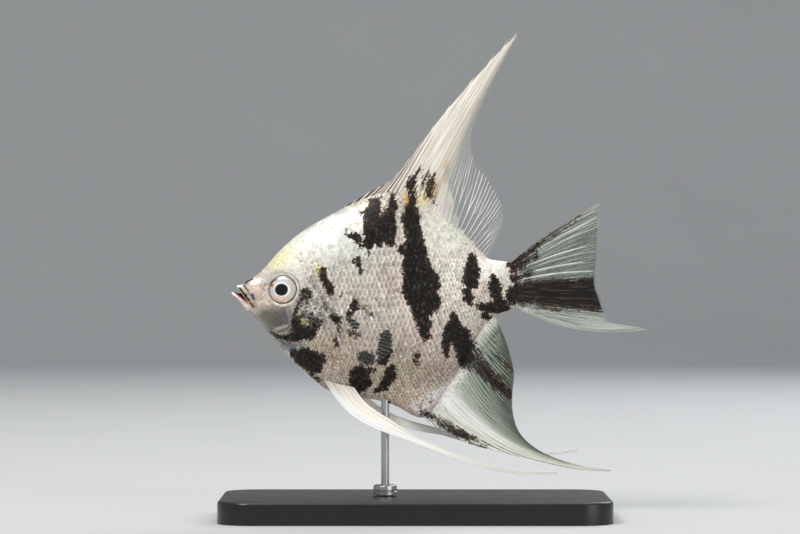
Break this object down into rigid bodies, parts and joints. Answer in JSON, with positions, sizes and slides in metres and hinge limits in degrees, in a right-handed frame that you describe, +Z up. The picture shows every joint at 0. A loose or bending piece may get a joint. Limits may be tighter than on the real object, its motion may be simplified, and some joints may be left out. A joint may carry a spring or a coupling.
{
  "type": "freshwater angelfish display model",
  "caption": "Life-size still model of a marbled freshwater angelfish with tall dorsal and anal fins, held level on a flat stand by a thin rod.",
  "frame": {"origin": "middle of the stand's underside", "axes": "+Z up, the fish swims level towards -X, its left flank faces -Y"},
  "size_m": [0.1156, 0.054, 0.1318],
  "materials": {
    "skin": "scaled fish skin, silver white with black marbling, satin",
    "eye": "silver iris, black pupil, clear gloss front",
    "fin": "translucent rayed membrane, satin",
    "stand_base": "black, satin",
    "stand_metal": "brushed"
  },
  "bodies": {
    "root": {"head": "skin", "trunk": "skin", "tail_stalk": "skin", "gill_cover_left": "skin", "gill_cover_right": "skin", "upper_jaw": "skin", "lower_jaw": "skin", "eye_left": "eye", "eye_right": "eye", "dorsal_fin": "fin", "anal_fin": "fin", "tail_fin": "fin", "pectoral_fin_left": "fin", "pectoral_fin_right": "fin", "pelvic_fin_left": "fin", "pelvic_fin_right": "fin", "stand_base": "stand_base", "stand_rod": "stand_metal", "stand_ferrule": "stand_metal"}
  },
  "joints": []
}
